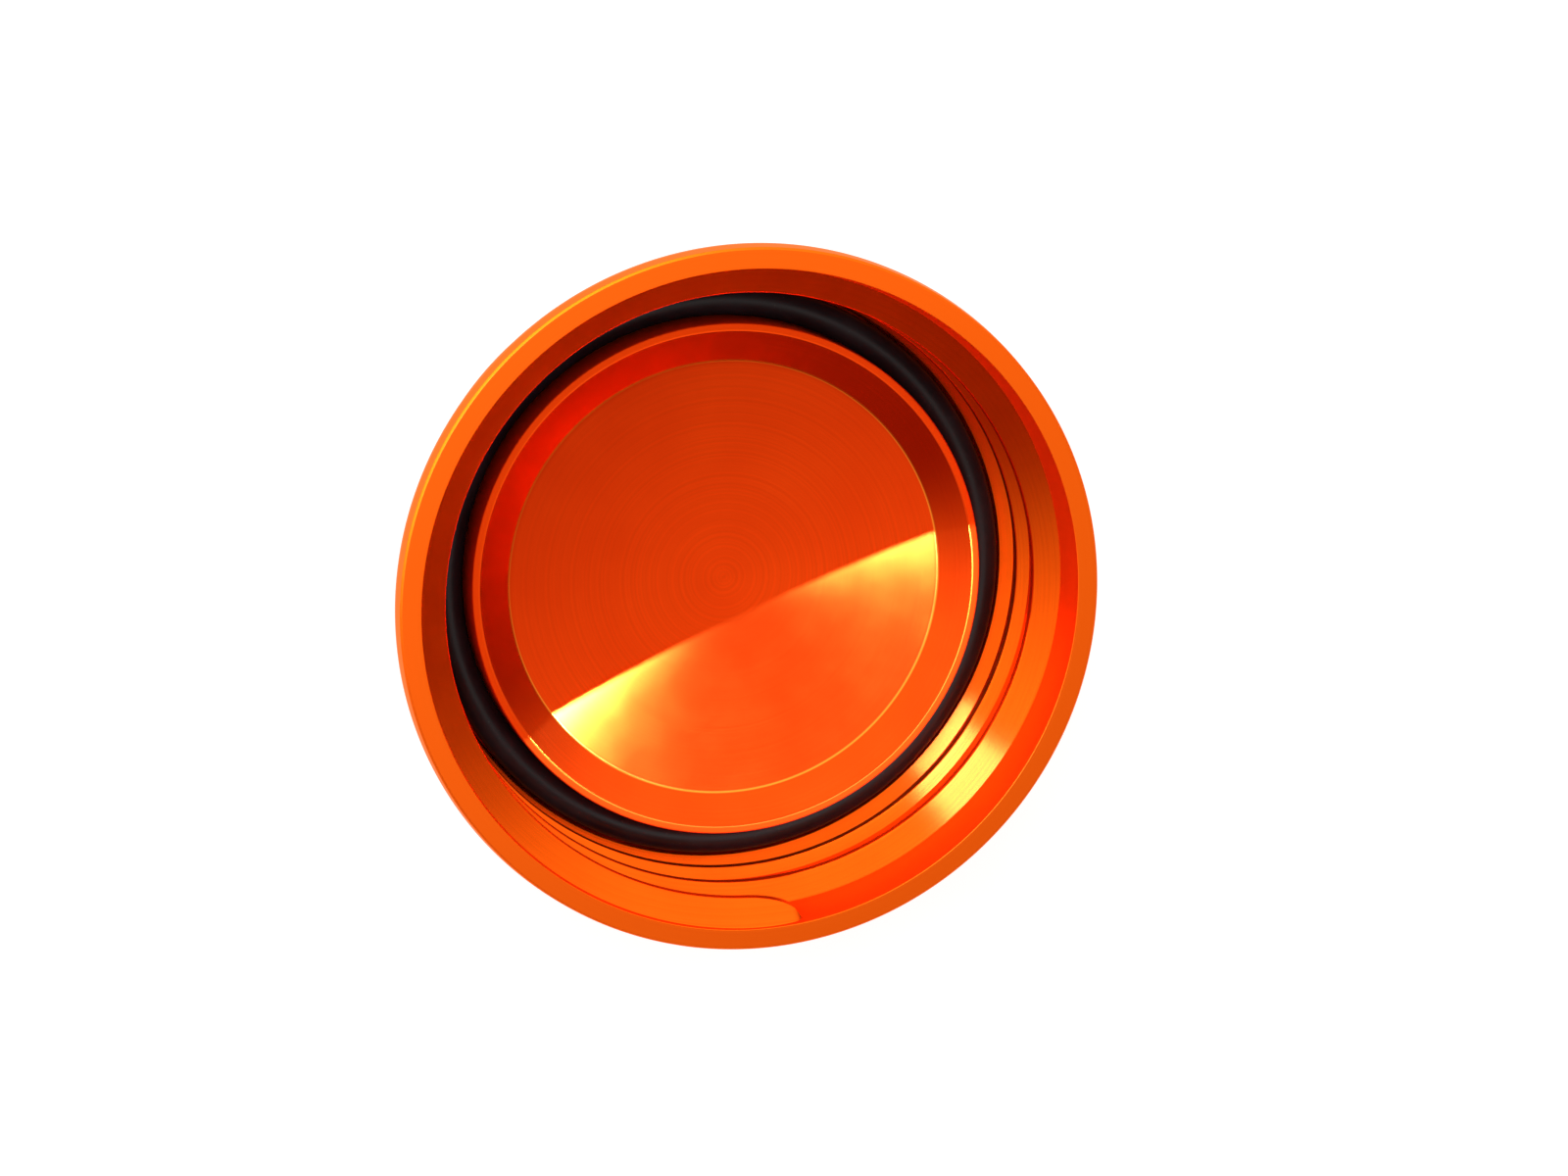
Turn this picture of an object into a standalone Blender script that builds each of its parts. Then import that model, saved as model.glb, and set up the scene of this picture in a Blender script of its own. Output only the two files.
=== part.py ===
"""Screw-on coupling closure: a threaded swivel nut turning on a dished closing disc.

The object stands on its back. Z is the axis of the thread, Z = 0 is the back face and
+Z looks out of the threaded mouth. All lengths are in metres.
"""

from math import ceil, cos, pi, radians, sin, sqrt

import bmesh
import bpy

MM = 0.001
CLEARANCE = 0.3 * MM
EDGE_BREAK = 0.3 * MM
SEGMENTS = 72
FINE_SEGMENTS = 48
SHARP_ANGLE = radians(30)

# Axial stack, measured up from the back face.
HEIGHT = 38.5 * MM
HUB_END = 0.4 * MM
CLIP_SEAT = 1.5 * MM
CLIP_THICKNESS = 1.5 * MM
WASHER_THICKNESS = 0.8 * MM
WEB_THICKNESS = 3.0 * MM
THRUST_THICKNESS = 1.0 * MM
FLANGE_THICKNESS = 2.7 * MM

CLIP_TOP = CLIP_SEAT + CLIP_THICKNESS
WASHER_BOTTOM = CLIP_TOP + CLEARANCE
WASHER_TOP = WASHER_BOTTOM + WASHER_THICKNESS
WEB_BOTTOM = WASHER_TOP + CLEARANCE
WEB_TOP = WEB_BOTTOM + WEB_THICKNESS
THRUST_BOTTOM = WEB_TOP + CLEARANCE
THRUST_TOP = THRUST_BOTTOM + THRUST_THICKNESS
FLANGE_BOTTOM = THRUST_TOP + CLEARANCE
FLANGE_TOP = FLANGE_BOTTOM + FLANGE_THICKNESS

# Swivel nut: outside. Depths are measured down from the rim.
RIM_FLAT_RADIUS = 50.2 * MM
RIM_CHAMFER = 0.3 * MM
RIM_RADIUS = 50.8 * MM
BULGE_DEPTH = 2.7 * MM
BULGE_HALF_FLAT = 0.5 * MM
BAND_END_RADIUS = 50.1 * MM
BAND_HEIGHT = 6.0 * MM
NECK_RADIUS = 48.9 * MM
NECK_DEPTH = 11.0 * MM
WAIST_RADIUS = 46.1 * MM
WAIST_DEPTH = 23.5 * MM
WAIST_END_DEPTH = 25.6 * MM
REAR_RADIUS = 44.7 * MM
REAR_TOP = 11.6 * MM
REAR_BOTTOM = 7.5 * MM
BACK_RADIUS = 43.0 * MM
BACK_CHAMFER = 0.8 * MM
RECESS_RADIUS = 22.0 * MM
NOTCH_COUNT = 6
NOTCH_RADIUS = 3.5 * MM
NOTCH_CENTRE = BACK_RADIUS + 1.5 * MM
NOTCH_TOP = 6.0 * MM

# Swivel nut: bore.
COUNTERBORE_RADIUS = 47.5 * MM
COUNTERBORE_END_RADIUS = 46.8 * MM
COUNTERBORE_DEPTH = 10.6 * MM
ROOT_RADIUS = 45.2 * MM
SHOULDER_BOTTOM = FLANGE_TOP + 2.5 * MM
SHOULDER_RISE = 1.0 * MM
PILOT_RADIUS = 43.2 * MM

# Single-start right-hand thread, a rib standing on the bore.
PITCH = 8.0 * MM
CREST_RADIUS = 43.5 * MM
CREST_WIDTH = 1.4 * MM
FLANK_SLOPE = 0.5
CREST_START = HEIGHT - 3.1 * MM
THREAD_START = radians(280)
THREAD_TURNS = 2.25
RUN_OUT_TURNS = 10.0 / 360.0
RIB_ROOTING = 0.4 * MM

# Closing disc.
NOSE_RADIUS = 37.9 * MM
NOSE_TOP = HEIGHT - 17.0 * MM
LAND_WIDTH = 1.2 * MM
DISH_DEPTH = 2.5 * MM
DISH_FLOOR_RADIUS = 32.2 * MM
DISH_SAG = 1.6 * MM
DISH_RINGS = 6
FLANGE_RADIUS = PILOT_RADIUS - CLEARANCE
HUB_RADIUS = 15.0 * MM
CLIP_GROOVE_DEPTH = 1.0 * MM
POCKET_RADIUS = 10.5 * MM
POCKET_TOP = 14.0 * MM

# Seal, rings and clip.
O_RING_SECTION = 4.5 * MM
O_RING_SIDES = 16
THRUST_INNER_RADIUS = 30.0 * MM
WASHER_RADIUS = 20.5 * MM
CLIP_INNER_RADIUS = HUB_RADIUS - CLIP_GROOVE_DEPTH + CLEARANCE
CLIP_END_WIDTH = 2.0 * MM
CLIP_BACK_WIDTH = 3.2 * MM
CLIP_HALF_GAP = radians(9)
CLIP_LUG_ANGLE = radians(14)
CLIP_LUG_RADIUS = 19.8 * MM
CLIP_HOLE_RADIUS = 0.9 * MM
CLIP_HOLE_CENTRE = 17.6 * MM

ORANGE = (0.90, 0.16, 0.01)
BLACK = (0.012, 0.013, 0.015)
IVORY = (0.78, 0.76, 0.70)
STEEL = (0.62, 0.62, 0.63)


def clear_scene():
    for old in list(bpy.data.objects):
        bpy.data.objects.remove(old, do_unlink=True)


def new_collection(name):
    collection = bpy.data.collections.new(name)
    bpy.context.scene.collection.children.link(collection)
    return collection


def new_material(name, colour, metallic, roughness):
    material = bpy.data.materials.new(name)
    material.use_nodes = True
    shader = material.node_tree.nodes["Principled BSDF"]
    shader.inputs["Base Color"].default_value = (*colour, 1.0)
    shader.inputs["Metallic"].default_value = metallic
    shader.inputs["Roughness"].default_value = roughness
    material.diffuse_color = (*colour, 1.0)
    return material


def new_object(name, mesh, collection):
    piece = bpy.data.objects.new(name, mesh)
    collection.objects.link(piece)
    return piece


def finish(piece, material):
    """Turn a piece's modifiers into its mesh, shade it smooth and give it its material."""
    evaluated = piece.evaluated_get(bpy.context.evaluated_depsgraph_get())
    mesh = bpy.data.meshes.new_from_object(evaluated)
    piece.modifiers.clear()
    piece.data = mesh
    mesh.name = piece.name
    mesh.materials.clear()
    mesh.materials.append(material)
    mesh.shade_smooth()
    mesh.set_sharp_from_angle(angle=SHARP_ANGLE)
    return piece


def turned(name, profile, collection, steps=SEGMENTS, closed=True):
    """Turn (radius, height) points about Z. The outer side runs from top to bottom."""
    mesh = bpy.data.meshes.new(name)
    points = [(radius, 0.0, height) for radius, height in profile]
    edges = [(i, i + 1) for i in range(len(points) - 1)]
    if closed:
        edges.append((len(points) - 1, 0))
    mesh.from_pydata(points, edges, [])
    piece = new_object(name, mesh, collection)
    screw = piece.modifiers.new("turn", "SCREW")
    screw.axis = "Z"
    screw.angle = 2 * pi
    screw.steps = steps
    screw.render_steps = steps
    screw.use_merge_vertices = True
    screw.merge_threshold = 0.00001
    return piece


def ring(name, inner, outer, bottom, top, collection, steps=SEGMENTS):
    """A flat ring with a small chamfer on its outer edges."""
    edge = 0.5 * EDGE_BREAK
    profile = [
        (inner, top),
        (outer - edge, top),
        (outer, top - edge),
        (outer, bottom + edge),
        (outer - edge, bottom),
        (inner, bottom),
    ]
    return turned(name, profile, collection, steps)


def add_boolean(piece, other, operation):
    boolean = piece.modifiers.new(other.name, "BOOLEAN")
    boolean.operation = operation
    boolean.solver = "EXACT"
    boolean.object = other
    other.hide_render = True
    other.display_type = "WIRE"


def rib_section(turn):
    """The thread's trapezoid, as (radius, height) points, so many turns from its start."""
    middle = CREST_START - PITCH * turn
    in_counterbore = middle > HEIGHT - COUNTERBORE_DEPTH
    wall = COUNTERBORE_RADIUS if in_counterbore else ROOT_RADIUS
    outer = wall + RIB_ROOTING
    distance_from_end = min(turn, THREAD_TURNS - turn)
    share = min(1.0, distance_from_end / RUN_OUT_TURNS)
    reach = sqrt(1.0 - (1.0 - share) ** 2)
    crest = wall + 0.5 * RIB_ROOTING - reach * (wall + 0.5 * RIB_ROOTING - CREST_RADIUS)
    half_root = 0.5 * CREST_WIDTH + FLANK_SLOPE * (outer - CREST_RADIUS)
    half_crest = half_root - FLANK_SLOPE * (outer - crest)
    return [
        (outer, middle + half_root),
        (crest, middle + half_crest),
        (crest, middle - half_crest),
        (outer, middle - half_root),
    ]


def thread_rib(collection):
    """Loft the thread's section down its helix, going clockwise as seen from the mouth."""
    count = ceil(THREAD_TURNS * SEGMENTS)
    shape = bmesh.new()
    rows = []
    for step in range(count + 1):
        turn = min(step / SEGMENTS, THREAD_TURNS)
        angle = THREAD_START - 2 * pi * turn
        row = [
            shape.verts.new((radius * cos(angle), radius * sin(angle), height))
            for radius, height in rib_section(turn)
        ]
        rows.append(row)
    for above, below in zip(rows, rows[1:]):
        for i in range(4):
            j = (i + 1) % 4
            shape.faces.new((above[i], above[j], below[j], below[i]))
    shape.faces.new(rows[0])
    shape.faces.new(reversed(rows[-1]))
    bmesh.ops.recalc_face_normals(shape, faces=shape.faces)
    mesh = bpy.data.meshes.new("thread_rib")
    shape.to_mesh(mesh)
    shape.free()
    return new_object("thread_rib", mesh, collection)


def spanner_notches(collection):
    """Upright round cutters spaced about the back of the nut."""
    shape = bmesh.new()
    reach = NOTCH_TOP + 2 * MM
    for index in range(NOTCH_COUNT):
        angle = 2 * pi * index / NOTCH_COUNT
        made = bmesh.ops.create_cone(
            shape,
            cap_ends=True,
            segments=24,
            radius1=NOTCH_RADIUS,
            radius2=NOTCH_RADIUS,
            depth=reach,
        )
        place = (NOTCH_CENTRE * cos(angle), NOTCH_CENTRE * sin(angle), NOTCH_TOP - reach / 2)
        bmesh.ops.translate(shape, verts=made["verts"], vec=place)
    mesh = bpy.data.meshes.new("spanner_notches")
    shape.to_mesh(mesh)
    shape.free()
    return new_object("spanner_notches", mesh, collection)


def nut_outside():
    """The nut's outside from the rim down to the back face: a rounded band, then a tapering body."""
    bulge_top = HEIGHT - BULGE_DEPTH + BULGE_HALF_FLAT
    bulge_bottom = HEIGHT - BULGE_DEPTH - BULGE_HALF_FLAT
    band_bottom = HEIGHT - BAND_HEIGHT
    neck_top = band_bottom - (BAND_END_RADIUS - NECK_RADIUS)
    return [
        (RIM_FLAT_RADIUS, HEIGHT),
        (RIM_FLAT_RADIUS + RIM_CHAMFER, HEIGHT - RIM_CHAMFER),
        (RIM_RADIUS, bulge_top),
        (RIM_RADIUS, bulge_bottom),
        (BAND_END_RADIUS, band_bottom),
        (NECK_RADIUS, neck_top),
        (NECK_RADIUS, HEIGHT - NECK_DEPTH),
        (WAIST_RADIUS, HEIGHT - WAIST_DEPTH),
        (WAIST_RADIUS, HEIGHT - WAIST_END_DEPTH),
        (REAR_RADIUS, REAR_TOP),
        (REAR_RADIUS, REAR_BOTTOM),
        (BACK_RADIUS, BACK_CHAMFER),
        (BACK_RADIUS - BACK_CHAMFER, 0.0),
    ]


def nut_inside():
    """The nut's inside from the back face through the web and up the bore to the rim."""
    counterbore_floor = HEIGHT - COUNTERBORE_DEPTH
    return [
        (RECESS_RADIUS + EDGE_BREAK, 0.0),
        (RECESS_RADIUS, EDGE_BREAK),
        (RECESS_RADIUS, WEB_BOTTOM),
        (HUB_RADIUS + CLEARANCE, WEB_BOTTOM),
        (HUB_RADIUS + CLEARANCE, WEB_TOP),
        (PILOT_RADIUS, WEB_TOP),
        (PILOT_RADIUS, SHOULDER_BOTTOM),
        (ROOT_RADIUS, SHOULDER_BOTTOM + SHOULDER_RISE),
        (ROOT_RADIUS, counterbore_floor),
        (COUNTERBORE_END_RADIUS, counterbore_floor),
        (COUNTERBORE_RADIUS, HEIGHT - EDGE_BREAK),
        (COUNTERBORE_RADIUS + EDGE_BREAK, HEIGHT),
    ]


def coupling_nut(parts, cutters, material):
    nut = turned("coupling_nut", nut_outside() + nut_inside(), parts)
    add_boolean(nut, thread_rib(cutters), "UNION")
    add_boolean(nut, spanner_notches(cutters), "DIFFERENCE")
    return finish(nut, material)


def swivel_disc(parts, material):
    groove_bottom = CLIP_SEAT - CLEARANCE
    groove_top = CLIP_TOP + 0.5 * CLEARANCE
    groove_radius = HUB_RADIUS - CLIP_GROOVE_DEPTH
    dish_edge = NOSE_TOP - DISH_DEPTH
    dish = []
    for step in range(DISH_RINGS + 1):
        share = step / DISH_RINGS
        dish.append((DISH_FLOOR_RADIUS * share, dish_edge - DISH_SAG * (1.0 - share**2)))
    profile = dish + [
        (NOSE_RADIUS - LAND_WIDTH, NOSE_TOP),
        (NOSE_RADIUS - EDGE_BREAK, NOSE_TOP),
        (NOSE_RADIUS, NOSE_TOP - EDGE_BREAK),
        (NOSE_RADIUS, FLANGE_TOP),
        (FLANGE_RADIUS - EDGE_BREAK, FLANGE_TOP),
        (FLANGE_RADIUS, FLANGE_TOP - EDGE_BREAK),
        (FLANGE_RADIUS, FLANGE_BOTTOM + EDGE_BREAK),
        (FLANGE_RADIUS - EDGE_BREAK, FLANGE_BOTTOM),
        (HUB_RADIUS, FLANGE_BOTTOM),
        (HUB_RADIUS, groove_top),
        (groove_radius, groove_top),
        (groove_radius, groove_bottom),
        (HUB_RADIUS, groove_bottom),
        (HUB_RADIUS - EDGE_BREAK, HUB_END),
        (POCKET_RADIUS, HUB_END),
        (POCKET_RADIUS, POCKET_TOP),
        (0.0, POCKET_TOP),
    ]
    disc = turned("swivel_disc", profile, parts, closed=False)
    return finish(disc, material)


def face_o_ring(parts, material):
    section = 0.5 * O_RING_SECTION
    centre_radius = NOSE_RADIUS + CLEARANCE + section
    centre_height = FLANGE_TOP + 0.5 * CLEARANCE + section
    profile = []
    for side in range(O_RING_SIDES):
        angle = -2 * pi * side / O_RING_SIDES
        profile.append((centre_radius + section * cos(angle), centre_height + section * sin(angle)))
    seal = turned("face_o_ring", profile, parts)
    return finish(seal, material)


def thrust_ring(parts, material):
    outer = PILOT_RADIUS - CLEARANCE
    slip = ring("thrust_ring", THRUST_INNER_RADIUS, outer, THRUST_BOTTOM, THRUST_TOP, parts)
    return finish(slip, material)


def back_washer(parts, material):
    inner = HUB_RADIUS + CLEARANCE
    washer = ring(
        "back_washer", inner, WASHER_RADIUS, WASHER_BOTTOM, WASHER_TOP, parts, FINE_SEGMENTS
    )
    return finish(washer, material)


def clip_outline():
    """Outer and inner arcs of the clip. Angles start at its gap, which faces -X."""
    steps = 40
    lug_end = CLIP_HALF_GAP + CLIP_LUG_ANGLE
    outline = []
    for corner in (CLIP_HALF_GAP, lug_end):
        outline.append((CLIP_LUG_RADIUS, corner))
    for step in range(steps + 1):
        angle = lug_end + radians(4) + (2 * pi - 2 * lug_end - radians(8)) * step / steps
        share = 0.5 - 0.5 * cos(angle)
        width = CLIP_END_WIDTH + share * (CLIP_BACK_WIDTH - CLIP_END_WIDTH)
        outline.append((CLIP_INNER_RADIUS + width, angle))
    for corner in (2 * pi - lug_end, 2 * pi - CLIP_HALF_GAP):
        outline.append((CLIP_LUG_RADIUS, corner))
    for step in range(steps + 1):
        angle = 2 * pi - CLIP_HALF_GAP - (2 * pi - 2 * CLIP_HALF_GAP) * step / steps
        outline.append((CLIP_INNER_RADIUS, angle))
    return outline


def retaining_ring(parts, material):
    """A flat snap ring, cut from its outline, with two holes for pliers."""
    curve = bpy.data.curves.new("retaining_ring", "CURVE")
    curve.dimensions = "2D"
    curve.fill_mode = "BOTH"
    curve.extrude = 0.5 * CLIP_THICKNESS
    loops = [[(-radius * cos(a), -radius * sin(a)) for radius, a in clip_outline()]]
    for side in (-1, 1):
        angle = pi + side * (CLIP_HALF_GAP + 0.5 * CLIP_LUG_ANGLE)
        centre = (CLIP_HOLE_CENTRE * cos(angle), CLIP_HOLE_CENTRE * sin(angle))
        loops.append(
            [
                (
                    centre[0] + CLIP_HOLE_RADIUS * cos(2 * pi * k / 12),
                    centre[1] + CLIP_HOLE_RADIUS * sin(2 * pi * k / 12),
                )
                for k in range(12)
            ]
        )
    for loop in loops:
        spline = curve.splines.new("POLY")
        spline.points.add(len(loop) - 1)
        for point, (x, y) in zip(spline.points, loop):
            point.co = (x, y, 0.0, 1.0)
        spline.use_cyclic_u = True
    outline = new_object("retaining_ring_outline", curve, parts)
    evaluated = outline.evaluated_get(bpy.context.evaluated_depsgraph_get())
    mesh = bpy.data.meshes.new_from_object(evaluated)
    bpy.data.objects.remove(outline, do_unlink=True)
    shape = bmesh.new()
    shape.from_mesh(mesh)
    bmesh.ops.remove_doubles(shape, verts=shape.verts, dist=0.00001)
    bmesh.ops.recalc_face_normals(shape, faces=shape.faces)
    shape.to_mesh(mesh)
    shape.free()
    clip = new_object("retaining_ring", mesh, parts)
    clip.location.z = CLIP_SEAT + 0.5 * CLIP_THICKNESS
    return finish(clip, material)


def build():
    clear_scene()
    parts = new_collection("swivel_coupling_closure")
    cutters = new_collection("cutters")
    orange = new_material("orange_anodised", ORANGE, 0.9, 0.32)
    rubber = new_material("black_rubber", BLACK, 0.0, 0.35)
    polymer = new_material("ivory_polymer", IVORY, 0.0, 0.45)
    steel = new_material("spring_steel", STEEL, 1.0, 0.35)
    nut = coupling_nut(parts, cutters, orange)
    disc = swivel_disc(parts, orange)
    seal = face_o_ring(parts, rubber)
    thrust = thrust_ring(parts, polymer)
    washer = back_washer(parts, steel)
    clip = retaining_ring(parts, steel)

    float_axis = bpy.data.objects.new("float_axis", None)
    turn_axis = bpy.data.objects.new("turn_axis", None)
    for empty in (float_axis, turn_axis):
        parts.objects.link(empty)
        empty.location.z = WEB_TOP
    turn_axis.parent = float_axis
    turn_axis.location.z = 0.0
    for piece, carrier in ((thrust, float_axis), (washer, float_axis), (nut, turn_axis)):
        piece.parent = carrier
        piece.location.z = -WEB_TOP
    for piece in (seal, clip):
        piece.parent = disc


build()
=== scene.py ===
"""Looks of the screw-on coupling closure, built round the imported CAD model.

Everything is in metres in the CAD's own frame: Z is the thread's axis, Z = 0 the back
face, and +Z looks out of the mouth. Each CAD node is replaced by a finer mesh of the same
shape, with rounded edges, a smooth thread and a procedural material.
"""

from math import acos, atan2, cos, pi, radians, sin, sqrt, tan

import bmesh
import bpy
from mathutils import Matrix, Vector


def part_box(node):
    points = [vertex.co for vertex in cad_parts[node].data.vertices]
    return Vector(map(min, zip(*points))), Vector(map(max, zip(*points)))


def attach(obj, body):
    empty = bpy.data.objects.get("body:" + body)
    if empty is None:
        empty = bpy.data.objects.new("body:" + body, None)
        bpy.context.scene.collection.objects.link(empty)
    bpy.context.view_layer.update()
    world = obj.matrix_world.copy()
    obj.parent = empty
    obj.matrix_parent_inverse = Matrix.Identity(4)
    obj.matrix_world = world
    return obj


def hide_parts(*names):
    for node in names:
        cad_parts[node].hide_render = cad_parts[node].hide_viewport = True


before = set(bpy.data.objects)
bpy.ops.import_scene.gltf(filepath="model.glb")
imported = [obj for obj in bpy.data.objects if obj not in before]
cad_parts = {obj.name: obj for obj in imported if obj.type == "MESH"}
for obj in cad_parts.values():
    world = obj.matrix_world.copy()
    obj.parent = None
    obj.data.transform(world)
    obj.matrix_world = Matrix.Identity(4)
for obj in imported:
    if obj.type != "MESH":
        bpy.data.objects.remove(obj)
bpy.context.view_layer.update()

MM = 0.001

# Steps round a turned piece, and across each rounded edge.
STEPS = 360
ARC_STEPS = 4

# Edges that turn by more than this stay sharp. Elsewhere large faces lead the shading.
SHARP_ANGLE = radians(32)
LARGE_FACE_WEIGHT = 100


def reach(node):
    """Outer radius, bottom and top of a CAD node that is turned about Z."""
    low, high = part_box(node)
    return high.x, low.z, high.z


RIM_RADIUS, NUT_BOTTOM, HEIGHT = reach("coupling_nut")
FLANGE_RADIUS, HUB_END, NOSE_TOP = reach("swivel_disc")
SEAL_OUTER, SEAL_BOTTOM, SEAL_TOP = reach("face_o_ring")
THRUST_OUTER, THRUST_BOTTOM, THRUST_TOP = reach("thrust_ring")
WASHER_OUTER, WASHER_BOTTOM, WASHER_TOP = reach("back_washer")
CLIP_BOTTOM, CLIP_TOP = reach("retaining_ring")[1:]

CLEARANCE = 0.3 * MM

# Swivel nut: outside. Sizes that end in DEPTH are measured down from the rim.
RIM_FLAT_RADIUS = 50.2 * MM
RIM_CHAMFER = 0.3 * MM
BULGE_DEPTH = 2.7 * MM
BULGE_HALF_FLAT = 0.5 * MM
BAND_END_RADIUS = 50.1 * MM
BAND_HEIGHT = 6.0 * MM
NECK_RADIUS = 48.9 * MM
NECK_DEPTH = 11.0 * MM
WAIST_RADIUS = 46.1 * MM
WAIST_DEPTH = 23.5 * MM
WAIST_END_DEPTH = 25.6 * MM
REAR_RADIUS = 44.7 * MM
REAR_TOP = 11.6 * MM
REAR_BOTTOM = 7.5 * MM
BACK_RADIUS = 43.0 * MM
BACK_CHAMFER = 0.8 * MM
RECESS_RADIUS = 22.0 * MM
RECESS_FILLET = 0.3 * MM
NOTCH_COUNT = 6
NOTCH_RADIUS = 3.5 * MM
NOTCH_CENTRE = BACK_RADIUS + 1.5 * MM
NOTCH_TOP = 6.0 * MM
NOTCH_SIDES = 64
NOTCH_OVERCUT = 2 * MM

# Swivel nut: bore.
COUNTERBORE_RADIUS = 47.5 * MM
COUNTERBORE_END_RADIUS = 46.8 * MM
LEDGE_HEIGHT = HEIGHT - 10.6 * MM
LEDGE_EDGE = 0.2 * MM
ROOT_RADIUS = 45.2 * MM
SHOULDER_BOTTOM = 14.2 * MM
SHOULDER_RISE = 1.0 * MM
PILOT_RADIUS = FLANGE_RADIUS + CLEARANCE
WEB_BOTTOM = WASHER_TOP + CLEARANCE
WEB_TOP = THRUST_BOTTOM - CLEARANCE
JOIN_STRIP = 0.3 * MM

# Single-start right-hand thread.
PITCH = 8.0 * MM
CREST_RADIUS = 43.5 * MM
CREST_WIDTH = 1.4 * MM
CREST_EDGE = 0.25 * MM
FLANK_SLOPE = 0.5
CREST_START = HEIGHT - 3.1 * MM
THREAD_START = radians(280)
THREAD_TURNS = 2.25
RUN_OUT_TURNS = 10.0 / 360.0

# Small limits for working out the thread's section.
TURN_TOLERANCE = 0.1 / STEPS
FAINT_GROWTH = 0.01
FLANK_PASSES = 6
JUST_ABOVE_LEDGE = 0.001 * MM

# Closing disc. The dish's edge is measured down from the land.
NOSE_RADIUS = 37.9 * MM
LAND_WIDTH = 1.2 * MM
DISH_EDGE_DEPTH = 2.5 * MM
DISH_EDGE_RADIUS = 32.2 * MM
DISH_SAG = 1.6 * MM
DISH_RINGS = 40
FLANGE_BOTTOM = THRUST_TOP + CLEARANCE
FLANGE_TOP = FLANGE_BOTTOM + 2.7 * MM
HUB_RADIUS = 15.0 * MM
CLIP_GROOVE_DEPTH = 1.0 * MM
POCKET_RADIUS = 10.5 * MM
POCKET_TOP = 14.0 * MM

# Rings and clip.
SEAL_SIDES = 64
SEAL_FLASH = 0.03 * MM
THRUST_INNER = 30.0 * MM
FLAT_RING_FILLET = 0.15 * MM
CLIP_INNER = HUB_RADIUS - CLIP_GROOVE_DEPTH + CLEARANCE
CLIP_END_WIDTH = 2.0 * MM
CLIP_BACK_WIDTH = 3.2 * MM
CLIP_HALF_GAP = radians(9)
CLIP_LUG_ANGLE = radians(14)
CLIP_LUG_BLEND = radians(5)
CLIP_LUG_RADIUS = 19.8 * MM
CLIP_HOLE_RADIUS = 0.9 * MM
CLIP_HOLE_CENTRE = 17.6 * MM
CLIP_FILLET = 0.12 * MM
CLIP_STEPS = 90
CLIP_LUG_STEPS = 8
CLIP_HOLE_STEPS = 40
CLIP_MERGE = 0.002 * MM


# ---------------------------------------------------------------- mesh tools


def add_object(name, data):
    """Put new data into the scene as an object."""
    made = bpy.data.objects.new(name, data)
    bpy.context.scene.collection.objects.link(made)
    return made


def rounded(corners, closed=True):
    """Replace each (radius, height, fillet) corner of an outline by a short arc."""
    count = len(corners)
    points = []
    for i, (r, z, fillet) in enumerate(corners):
        here = Vector((r, z))
        at_end = not closed and i in (0, count - 1)
        if fillet <= 0 or at_end:
            points.append((r, z))
            continue
        before = (Vector(corners[i - 1][:2]) - here).normalized()
        after = (Vector(corners[(i + 1) % count][:2]) - here).normalized()
        half = 0.5 * acos(max(-1.0, min(1.0, before.dot(after))))
        centre = here + (before + after).normalized() * (fillet / sin(half))
        start = here + before * (fillet / tan(half)) - centre
        end = here + after * (fillet / tan(half)) - centre
        a0 = atan2(start.y, start.x)
        sweep = (atan2(end.y, end.x) - a0 + pi) % (2 * pi) - pi
        for step in range(ARC_STEPS + 1):
            a = a0 + sweep * step / ARC_STEPS
            points.append((centre.x + fillet * cos(a), centre.y + fillet * sin(a)))
    return points


def finish_piece(shape, name, material):
    """Make the mesh's object, crisp where it turns sharply and smooth elsewhere."""
    bmesh.ops.recalc_face_normals(shape, faces=shape.faces)
    mesh = bpy.data.meshes.new(name)
    shape.to_mesh(mesh)
    shape.free()
    mesh.materials.append(material)
    mesh.shade_smooth()
    mesh.set_sharp_from_angle(angle=SHARP_ANGLE)
    return add_object(name, mesh)


def weigh_normals(piece):
    """Keep flat faces flat beside their rounded edges."""
    weighted = piece.modifiers.new("flat_faces", "WEIGHTED_NORMAL")
    weighted.keep_sharp = True
    weighted.weight = LARGE_FACE_WEIGHT


def turned(name, outline, material, closed=True):
    """Turn an outline of (radius, height) points about Z. An open one ends on the axis."""
    shape = bmesh.new()
    poles = {}
    for i, (r, z) in enumerate(outline):
        if r == 0:
            poles[i] = shape.verts.new((0, 0, z))
    rings = []
    for step in range(STEPS):
        a = 2 * pi * step / STEPS
        rings.append(
            [
                poles[i] if i in poles else shape.verts.new((r * cos(a), r * sin(a), z))
                for i, (r, z) in enumerate(outline)
            ]
        )
    count = len(outline)
    spans = count if closed else count - 1
    for here, after in zip(rings, rings[1:] + rings[:1]):
        for i in range(spans):
            j = (i + 1) % count
            corners = [here[i], here[j], after[j], after[i]]
            shape.faces.new(list(dict.fromkeys(corners)))
    piece = finish_piece(shape, name, material)
    weigh_normals(piece)
    return piece


def flat_ring(name, inner, outer, bottom, top, material):
    """A flat ring with its four edges rounded."""
    corners = [
        (inner, top, FLAT_RING_FILLET),
        (outer, top, FLAT_RING_FILLET),
        (outer, bottom, FLAT_RING_FILLET),
        (inner, bottom, FLAT_RING_FILLET),
    ]
    return turned(name, rounded(corners), material)


def stitch(shape, here, after):
    """Join two keyed rows of vertices. Where one row has extra ones, a face takes them in."""
    shared = [key for key in here if key in after]
    order_here, order_after = list(here), list(after)
    for start, end in zip(shared, shared[1:] + shared[:1]):
        first = span(order_here, start, end)
        second = span(order_after, start, end)
        corners = [here[key] for key in first] + [after[key] for key in reversed(second)]
        shape.faces.new(corners)


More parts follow.
